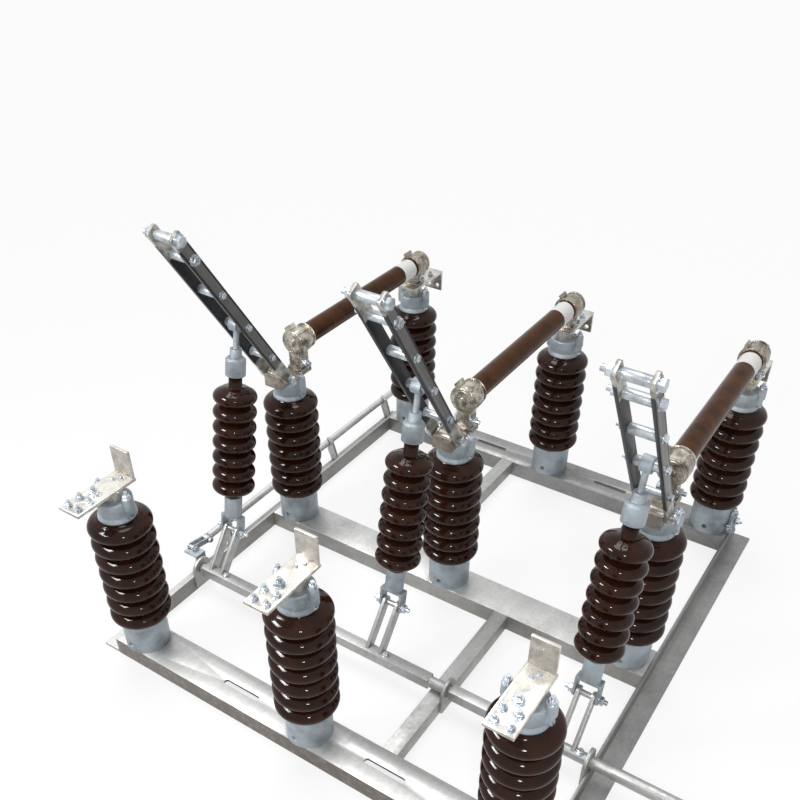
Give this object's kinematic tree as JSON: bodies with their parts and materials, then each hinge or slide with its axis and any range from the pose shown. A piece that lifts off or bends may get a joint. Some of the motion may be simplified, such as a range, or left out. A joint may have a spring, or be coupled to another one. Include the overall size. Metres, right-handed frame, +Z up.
{
  "type": "three-pole fused disconnect switch",
  "caption": "Outdoor-style disconnect switch: brown insulator posts on a galvanised frame, swinging double blades lifted by insulated pull rods from a cross shaft, and tube fuses behind.",
  "frame": {"origin": "centre of the bounding box at the underside of the steel frame", "axes": "+X along the operating shaft to its long end, +Y from the blade tips to the fuses, +Z up"},
  "size_m": [1.1116, 1.056, 0.7354],
  "materials": {
    "galvanised_steel": "satin",
    "cast_fitting": "satin",
    "brown_glaze": "gloss",
    "fuse_glaze": "gloss",
    "dark_blade": "satin",
    "plated_copper": "satin"
  },
  "bodies": {
    "frame": {"centre_fuse_tube": "fuse_glaze", "front_beam": "galvanised_steel", "front_centre_porcelain": "brown_glaze", "front_left_porcelain": "brown_glaze", "front_post_bases": "cast_fitting", "front_post_caps": "cast_fitting", "front_right_porcelain": "brown_glaze", "front_stringer": "galvanised_steel", "front_terminals": "plated_copper", "fuse_end_caps": "plated_copper", "hinge_brackets": "plated_copper", "left_fuse_tube": "fuse_glaze", "left_rail": "galvanised_steel", "middle_beam": "galvanised_steel", "middle_centre_porcelain": "brown_glaze", "middle_fuse_clips": "plated_copper", "middle_left_porcelain": "brown_glaze", "middle_post_bases": "cast_fitting", "middle_post_caps": "cast_fitting", "middle_right_porcelain": "brown_glaze", "rear_beam": "galvanised_steel", "rear_centre_porcelain": "brown_glaze", "rear_fuse_clips": "plated_copper", "rear_left_porcelain": "brown_glaze", "rear_post_bases": "cast_fitting", "rear_post_caps": "cast_fitting", "rear_right_porcelain": "brown_glaze", "rear_stringer": "galvanised_steel", "rear_terminals": "plated_copper", "right_fuse_tube": "fuse_glaze", "right_rail": "galvanised_steel", "shaft_bearings": "galvanised_steel", "trip_bracket": "galvanised_steel", "trip_rod": "galvanised_steel"},
    "shaft": {"operating_shaft": "galvanised_steel", "shaft_levers": "galvanised_steel"},
    "left_blade": {"left_blade_bars": "dark_blade", "left_blade_tubes": "plated_copper"},
    "left_pull": {"left_pull_fittings": "cast_fitting", "left_pull_porcelain": "brown_glaze"},
    "centre_blade": {"centre_blade_bars": "dark_blade", "centre_blade_tubes": "plated_copper"},
    "centre_pull": {"centre_pull_fittings": "cast_fitting", "centre_pull_porcelain": "brown_glaze"},
    "right_blade": {"right_blade_bars": "dark_blade", "right_blade_tubes": "plated_copper"},
    "right_pull": {"right_pull_fittings": "cast_fitting", "right_pull_porcelain": "brown_glaze"}
  },
  "joints": [
    {"name": "shaft_turn", "type": "hinge", "parent": "frame", "child": "shaft", "pos_m": [0, -0.258, 0.0475], "axis": [-1, 0, 0], "range_deg": [0, 91.66]},
    {"name": "left_blade_hinge", "type": "hinge", "parent": "frame", "child": "left_blade", "pos_m": [-0.45425, -0.03, 0.38], "axis": [1, 0, 0], "range_deg": [0, 52]},
    {"name": "left_pull_hinge", "type": "hinge", "parent": "left_blade", "child": "left_pull", "pos_m": [-0.45425, -0.12242, 0.52506], "axis": [1, 0, 0], "range_deg": [-38.69, 0]},
    {"name": "centre_blade_hinge", "type": "hinge", "parent": "frame", "child": "centre_blade", "pos_m": [-0.08425, -0.03, 0.38], "axis": [1, 0, 0], "range_deg": [0, 52]},
    {"name": "centre_pull_hinge", "type": "hinge", "parent": "centre_blade", "child": "centre_pull", "pos_m": [-0.08425, -0.12242, 0.52506], "axis": [1, 0, 0], "range_deg": [-38.69, 0]},
    {"name": "right_blade_hinge", "type": "hinge", "parent": "frame", "child": "right_blade", "pos_m": [0.28575, -0.03, 0.38], "axis": [1, 0, 0], "range_deg": [0, 52]},
    {"name": "right_pull_hinge", "type": "hinge", "parent": "right_blade", "child": "right_pull", "pos_m": [0.28575, -0.12242, 0.52506], "axis": [1, 0, 0], "range_deg": [-38.69, 0]}
  ],
  "couplings": [
    {"joint": "left_blade_hinge", "follows": "shaft_turn", "ratio": 0.56729},
    {"joint": "left_pull_hinge", "follows": "shaft_turn", "ratio": -0.42207},
    {"joint": "centre_blade_hinge", "follows": "shaft_turn", "ratio": 0.56729},
    {"joint": "centre_pull_hinge", "follows": "shaft_turn", "ratio": -0.42207},
    {"joint": "right_blade_hinge", "follows": "shaft_turn", "ratio": 0.56729},
    {"joint": "right_pull_hinge", "follows": "shaft_turn", "ratio": -0.42207}
  ]
}
